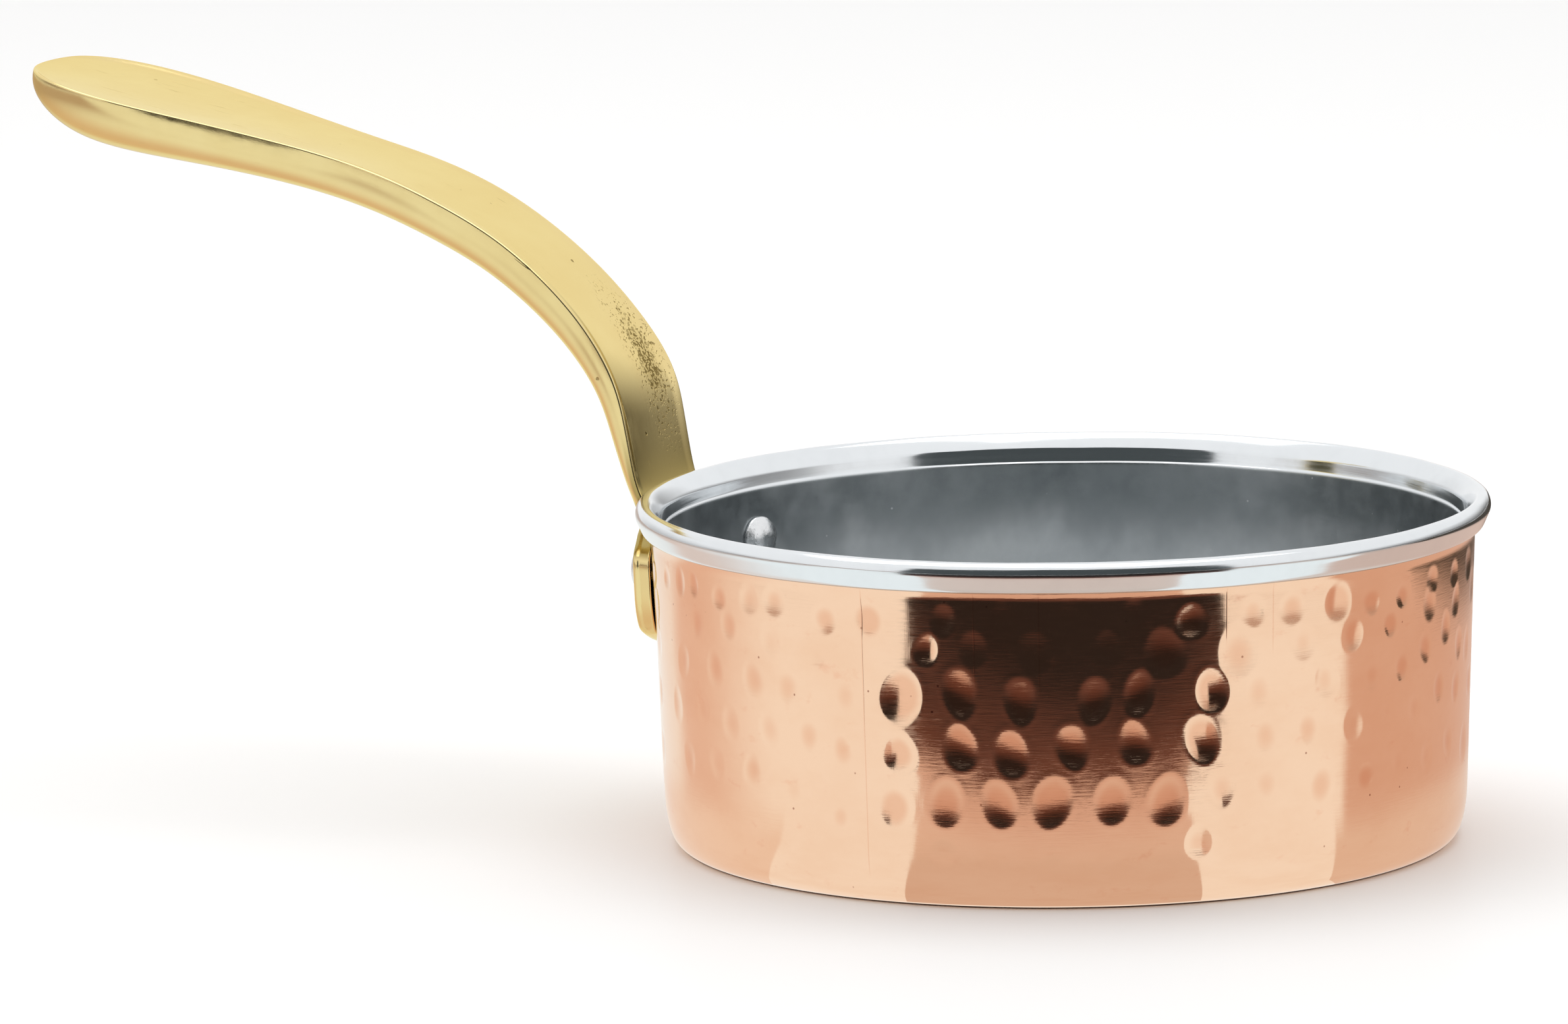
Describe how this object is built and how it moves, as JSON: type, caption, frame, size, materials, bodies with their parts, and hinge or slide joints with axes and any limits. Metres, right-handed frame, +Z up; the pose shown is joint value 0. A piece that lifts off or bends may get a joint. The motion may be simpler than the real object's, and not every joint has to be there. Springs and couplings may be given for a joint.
{
  "type": "saucepan",
  "caption": "Small hammered copper saucepan with a steel lining rolled over the rim and a curved cast brass handle riveted to the side.",
  "frame": {"origin": "centre of the flat underside, on the surface the pan stands on", "axes": "+Z up along the pan's axis, -X towards the tip of the handle, so the row's longest extent is along X"},
  "size_m": [0.2743, 0.15, 0.1299],
  "materials": {
    "copper": "hammered and polished copper",
    "steel": "satin inside, polished rim",
    "brass": "polished casting with a few pits",
    "rivet_steel": "polished"
  },
  "bodies": {
    "root": {"copper_shell": "copper", "steel_liner": "steel", "handle": "brass", "rivet_left": "rivet_steel", "rivet_right": "rivet_steel"}
  },
  "joints": []
}
